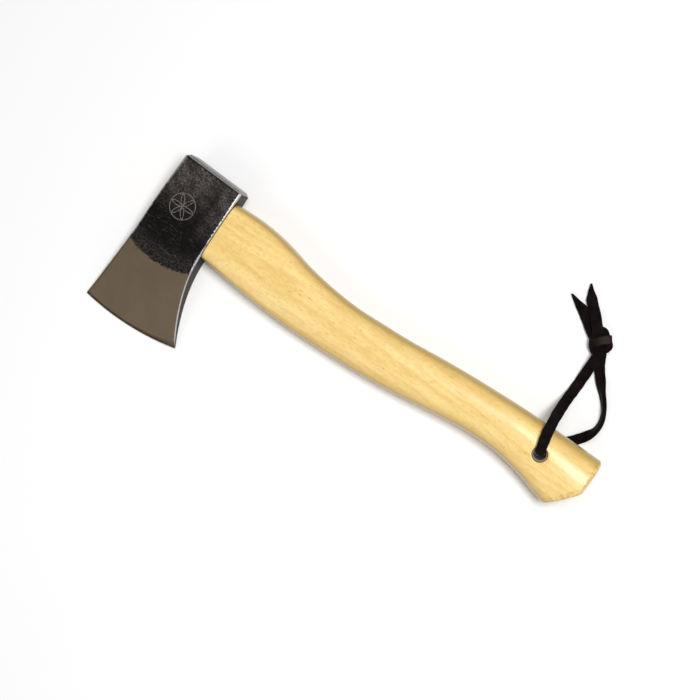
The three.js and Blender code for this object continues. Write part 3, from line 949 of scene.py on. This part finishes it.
def hole_plug():
    """The drill's path, opening softly where it breaks the two sides."""
    throat = half_thickness(HOLE_PLACE[0]) - HOLE_LIP
    mouth = [(HOLE_RADIUS, throat)]
    for step in range(1, 7):
        angle = math.pi / 3 * step / 6
        opening = HOLE_LIP * (1 - math.cos(angle))
        mouth.append((HOLE_RADIUS + opening, throat + HOLE_LIP * math.sin(angle)))
    mouth.append((mouth[-1][0] + 6, mouth[-1][1] + 3.4))
    centre_x, centre_y = HOLE_PLACE
    rings = []
    for radius, height in [(r, -h) for r, h in mouth[::-1]] + mouth:
        circle = [(radius * math.cos(a), radius * math.sin(a)) for a in full_turn(56)]
        rings.append([(centre_x + dx, centre_y + dy, height) for dx, dy in circle])
    return stack_rings(rings, capped=True)


cut(handle, *hole_plug())

WEDGE_TOP = 4.6
WEDGE_TIP = 1.2
WEDGE_LENGTH = 32
RING_RADIUS = 5.6
RING_WALL = 1.3
RING_LENGTH = 12
RING_TAPER = 0.5
RING_EDGE = 0.4
SEAT_GAP = 0.12
SLOT_REACH = 30


def slab(grow):
    """The tapered slot for the wooden wedge, past both edges of the tenon."""
    top = WEDGE_TOP / 2 + grow
    tip = WEDGE_TIP / 2 + grow
    start = TENON_TOP - grow * 4
    stop = TENON_TOP + WEDGE_LENGTH + grow
    outline = [(start, -top), (stop, -tip), (stop, tip), (start, top)]
    points = [(x, y, z) for y in (-SLOT_REACH, SLOT_REACH) for x, z in outline]
    faces = [(0, 1, 2, 3), (7, 6, 5, 4)] + [(i, i + 4, (i + 1) % 4 + 4, (i + 1) % 4) for i in range(4)]
    return points, faces


def ring_shape(grow):
    """The conical steel ring, or its seat in the end grain when grow is above 0."""
    start = TENON_TOP - grow * 4
    stop = TENON_TOP + RING_LENGTH + grow
    outline = [
        (start, RING_RADIUS - RING_WALL - grow),
        (start, RING_RADIUS + grow),
        (stop, RING_RADIUS - RING_TAPER + grow),
        (stop, RING_RADIUS - RING_TAPER - RING_EDGE - grow),
    ]
    rings = []
    for x, radius in outline:
        rings.append([(x, radius * math.cos(a), radius * math.sin(a)) for a in full_turn(64)])
    return stack_rings(rings, closed=True)


cut(handle, *slab(SEAT_GAP))
cut(handle, *ring_shape(SEAT_GAP))
from_end = [end_x(vertex.co.y) - vertex.co.x for vertex in handle.data.vertices]
# how far each point turns towards the upper and lower edges; the wood is painted darker there as shade
turned_down = [1 - math.hypot(vertex.normal.x, vertex.normal.z) for vertex in handle.data.vertices]
store(handle.data, {"from_end": from_end, "turned_down": turned_down})
place_tool(handle)


def make_wood():
    material, tree, shader = new_material("lacquered_hardwood")
    place = tool_coordinates(tree)

    # growth rings round a pith that lies beside the billet, wandering along its length
    wander = speckle(tree, stretched(tree, place, (0.006, 0.035, 0.035)), 1)
    pith = vector_calc(tree, "ADD", stretched(tree, place, (0.02, 1, 1)), (0, 58, 34))
    parts = add_node(tree, "ShaderNodeSeparateXYZ", {"Vector": pith}).outputs
    out = plus(tree, length_of(tree, parts["Y"], parts["Z"]), times(tree, wander, 26))
    year = calc(tree, "FRACT", calc(tree, "DIVIDE", out, 4.6))
    late = times(tree, ramp(tree, year, 0.25, 0.85), ramp(tree, year, 1.0, 0.88))

    # fibres that drift across the grain, and short dark pores scattered between them
    drift = times(tree, speckle(tree, stretched(tree, place, (0.02, 0.05, 0.05)), 1, 2), 9)
    across = add_node(tree, "ShaderNodeCombineXYZ", {"Y": drift, "Z": drift}).outputs[0]
    drifted = vector_calc(tree, "ADD", place, across)
    fibre = speckle(tree, stretched(tree, drifted, (0.05, 1, 1)), 1.9, 5, 0.62)
    broad = speckle(tree, stretched(tree, drifted, (0.028, 0.15, 0.15)), 1.0, 4, 0.6)
    mottle = speckle(tree, stretched(tree, place, (0.35, 0.7, 0.7)), 1.0, 3, 0.65)
    ticks = speckle(tree, stretched(tree, place, (0.16, 1.15, 1.15)), 1.15, 1, 0.4)
    ticks = ramp(tree, ticks, 0.735, 0.775)
    fine_ticks = speckle(tree, stretched(tree, place, (0.22, 2.6, 2.6)), 1.1, 1, 0.4)
    fine_ticks = ramp(tree, fine_ticks, 0.69, 0.76, 0, 0.4)

    light = mixed(tree, ramp(tree, broad, 0.32, 0.68), (0.88, 0.640, 0.225), (0.76, 0.500, 0.130))
    tone = mixed(tree, times(tree, late, 0.5), light, (0.69, 0.42, 0.095))
    tone = mixed(tree, ramp(tree, fibre, 0.34, 0.68, 0.0, 0.55), tone, (0.92, 0.70, 0.300))
    tone = mixed(tree, ramp(tree, mottle, 0.48, 0.68, 0.0, 0.45), tone, (0.68, 0.41, 0.105))
    tone = mixed(tree, times(tree, fine_ticks, 0.5), tone, (0.52, 0.33, 0.12))
    tone = mixed(tree, times(tree, ticks, 0.75), tone, (0.33, 0.19, 0.07))

    # the upper and lower edges of the oval, painted a deeper gold as shade where the wood turns away from the
    # light
    edge_shade = ramp(tree, attribute(tree, "turned_down"), 0.04, 0.50, 0, 0.95)
    tone = mixed(tree, edge_shade, tone, (0.42, 0.255, 0.035))

    # the drilled wall, painted pale grey as a reflection, and a dark ring of painted shade round the mouth of
    # the hole
    parts = add_node(tree, "ShaderNodeSeparateXYZ", {"Vector": place}).outputs
    y = parts["Y"]
    from_axis = length_of(tree, minus(tree, parts["X"], HOLE_PLACE[0]), minus(tree, y, HOLE_PLACE[1]))
    lip_shade = times(tree, ramp(tree, from_axis, 5.3, 5.0), ramp(tree, from_axis, 4.3, 4.5))
    # the wall inside the hole painted pale grey: a painted reflection
    tone = mixed(tree, ramp(tree, from_axis, 4.5, 4.3, 0, 0.9), tone, (0.62, 0.55, 0.47))
    tone = mixed(tree, times(tree, lip_shade, 0.85), tone, (0.075, 0.042, 0.020))

    # the sanded edge of the butt, with a brown line of painted shade along the crease over the foot, and
    # darker blotches towards the end faces
    uneven_end = times(tree, speckle(tree, place, 0.25, 3, 0.6), 1.6)
    uneven_end = plus(tree, attribute(tree, "from_end"), uneven_end)
    # painted shade: a brown line along the crease over the foot
    line = times(tree, ramp(tree, uneven_end, 5.6, 4.7), ramp(tree, uneven_end, 3.9, 4.7))
    line = times(tree, line, ramp(tree, speckle(tree, place, 0.3, 2), 0.40, 0.60, 0.05, 0.6))
    line = times(tree, line, ramp(tree, y, -2, -7))
    blotch = times(tree, ramp(tree, uneven_end, 6.5, 3.5), ramp(tree, mottle, 0.46, 0.62, 0, 0.5))
    tone = mixed(tree, calc(tree, "MAXIMUM", line, blotch), tone, (0.42, 0.235, 0.075))

    # the skin of the lacquer: a faint orange peel over the fibres, and grit that settled on it
    orange_peel = times(tree, speckle(tree, place, 0.35, 3, 0.6), 1.6)
    height = plus(tree, times(tree, fibre, 0.5), orange_peel)
    height = minus(tree, height, times(tree, ticks, 0.5))
    grit = speckle(tree, stretched(tree, place, (0.5, 1, 1)), 0.9, 4, 0.7)
    finish = {
        "Base Color": tone,
        "Roughness": ramp(tree, fibre, 0.3, 0.7, 0.40, 0.56),
        "Normal": bump(tree, height, 0.35, 0.00012),
        "Coat Weight": 0.9,
        "Coat Roughness": 0.25,
        "Coat Normal": bump(tree, grit, 0.4, 0.0002),
    }
    set_inputs(tree, shader, finish)
    return material


cover(handle, make_wood())
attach(handle, "root")
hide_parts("handle")


# --- wooden wedge --------------------------------------------------------------------------------------
# A thin taper of darker hardwood, driven into the saw cut across the tenon to spread it in the eye and
# then sawn off flush. Its end grain shows on the toe face, split by the ring.
WEDGE_ROWS = 9
WEDGE_COLUMNS = 24
WEDGE_GAP = 0.05
RING_GAP = 0.1


def make_wooden_wedge():
    columns = np.linspace(-1, 1, WEDGE_COLUMNS)
    rings = []
    for share in np.linspace(0, 1, WEDGE_ROWS):
        x = TENON_TOP + WEDGE_GAP + (WEDGE_LENGTH - 0.2) * share
        thick = (WEDGE_TOP + (WEDGE_TIP - WEDGE_TOP) * share) / 2 - WEDGE_GAP
        eye_deep, eye_wide = eye_radii(x, GAP)
        deep = eye_deep * math.sqrt(max(0.1, 1 - (thick / eye_wide) ** 2)) - 2 * WEDGE_GAP
        upper = [(x, deep * c, thick * (1 - 0.03 * c**6)) for c in columns]
        rings.append(upper + [(x, y, -z) for x, y, z in upper[::-1]])
    points, faces = stack_rings(rings)
    count = 2 * WEDGE_COLUMNS
    for base in (0, len(points) - count):
        for i in range(WEDGE_COLUMNS - 1):
            faces.append((base + i, base + i + 1, base + count - 2 - i, base + count - 1 - i))
    wedge = plain_mesh("wedge_slip", points, faces)
    finished_mesh(wedge)
    cut(wedge, *ring_shape(RING_GAP))
    return place_tool(wedge)


def make_end_grain():
    material, tree, shader = new_material("wedge_wood")
    place = tool_coordinates(tree)
    fibre = speckle(tree, stretched(tree, place, (0.06, 1, 1)), 3.1, 5, 0.7)
    waves = {"Vector": place, "Scale": 0.55, "Distortion": 3.0, "Detail": 3}
    bands = add_node(tree, "ShaderNodeTexWave", waves, bands_direction="Y").outputs["Fac"]
    tone = mixed(tree, bands, (0.44, 0.25, 0.11), (0.30, 0.155, 0.065))
    finish = {
        "Base Color": mixed(tree, ramp(tree, fibre, 0.3, 0.7, 0, 0.55), tone, (0.56, 0.36, 0.18)),
        "Roughness": ramp(tree, fibre, 0.3, 0.7, 0.5, 0.75),
        "Normal": bump(tree, fibre, 0.5, 0.00015),
    }
    set_inputs(tree, shader, finish)
    return material


wedge = make_wooden_wedge()
cover(wedge, make_end_grain())
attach(wedge, "root")
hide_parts("wooden_wedge")


# --- ring wedge ----------------------------------------------------------------------------------------
# A short conical ring of mild steel, hammered into the end grain over the wooden wedge. It keeps the
# marks of the hammer on its rim and a film of rust in its pits.
ring = plain_mesh("ring_wedge_steel", *ring_shape(0))
rounding = ring.modifiers.new("rim", "BEVEL")
rounding.width = 0.18
rounding.segments = 3
rounding.angle_limit = math.radians(40)
finished_mesh(ring)
place_tool(ring)


def make_hammered_steel():
    material, tree, shader = new_material("wedge_steel")
    place = tool_coordinates(tree)
    dents = speckle(tree, place, 0.8)
    grain = speckle(tree, place, 6, 4, 0.7)
    tone = mixed(tree, ramp(tree, grain, 0.3, 0.7), (0.34, 0.33, 0.32), (0.50, 0.49, 0.48))
    finish = {
        "Base Color": mixed(tree, ramp(tree, dents, 0.55, 0.75, 0, 0.6), tone, (0.16, 0.085, 0.045)),
        "Metallic": 1.0,
        "Roughness": ramp(tree, grain, 0.3, 0.7, 0.32, 0.55),
        "Normal": bump(tree, plus(tree, dents, times(tree, grain, 0.2)), 0.6, 0.0003),
    }
    set_inputs(tree, shader, finish)
    return material


cover(ring, make_hammered_steel())
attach(ring, "root")
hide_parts("ring_wedge")


# --- floor and light -----------------------------------------------------------------------------------
# A plain white board under three soft lamps: an even one overhead that leaves no reflection, one over the
# butt for the gloss on the handle, and a weak one on the bit side. A pale surround fills the shadows.
FLOOR_SIZE = 3.0
half_floor = FLOOR_SIZE / 2
corner_signs = [(-1, -1), (1, -1), (1, 1), (-1, 1)]
floor = plain_mesh("floor", [(a * half_floor, b * half_floor, 0) for a, b in corner_signs], [(0, 1, 2, 3)])


def make_board():
    material, tree, shader = new_material("white_board")
    place = tree.nodes.new("ShaderNodeTexCoord").outputs["Object"]
    tone = mixed(tree, speckle(tree, place, 6), (0.90, 0.90, 0.90), (0.92, 0.92, 0.92))
    set_inputs(tree, shader, {"Base Color": tone, "Roughness": 0.9, "Specular IOR Level": 0.1})
    return material


cover(floor, make_board())

world = bpy.data.worlds.new("surround")
scene.world = world
world.use_nodes = True
surround = world.node_tree
set_inputs(surround, surround.nodes["Background"], {"Color": (1, 1, 1, 1), "Strength": 0.25})


def soft_lamp(name, place, aim, size, power):
    lamp_data = bpy.data.lights.new(name, "AREA")
    lamp_data.shape = "RECTANGLE"
    lamp_data.size, lamp_data.size_y = size
    lamp_data.energy = power
    lamp = bpy.data.objects.new(name, lamp_data)
    scene.collection.objects.link(lamp)
    lamp.location = place
    lamp.rotation_euler = (Vector(aim) - Vector(place)).to_track_quat("-Z", "Y").to_euler()
    return lamp


sky_lamp = soft_lamp("overhead_lamp", (0.05, 0.26, 1.32), (0.02, 0.03, 0), (0.9, 0.5), 6.8)
sky_lamp.visible_glossy = False
soft_lamp("butt_lamp", (0.34, 0.17, 1.30), (0.1, 0.03, 0), (0.54, 0.3), 9.4)
soft_lamp("bit_side_lamp", (-0.3, -0.95, 1.0), (0, 0, 0), (0.9, 0.7), 3.2)

scene.view_settings.view_transform = "Standard"
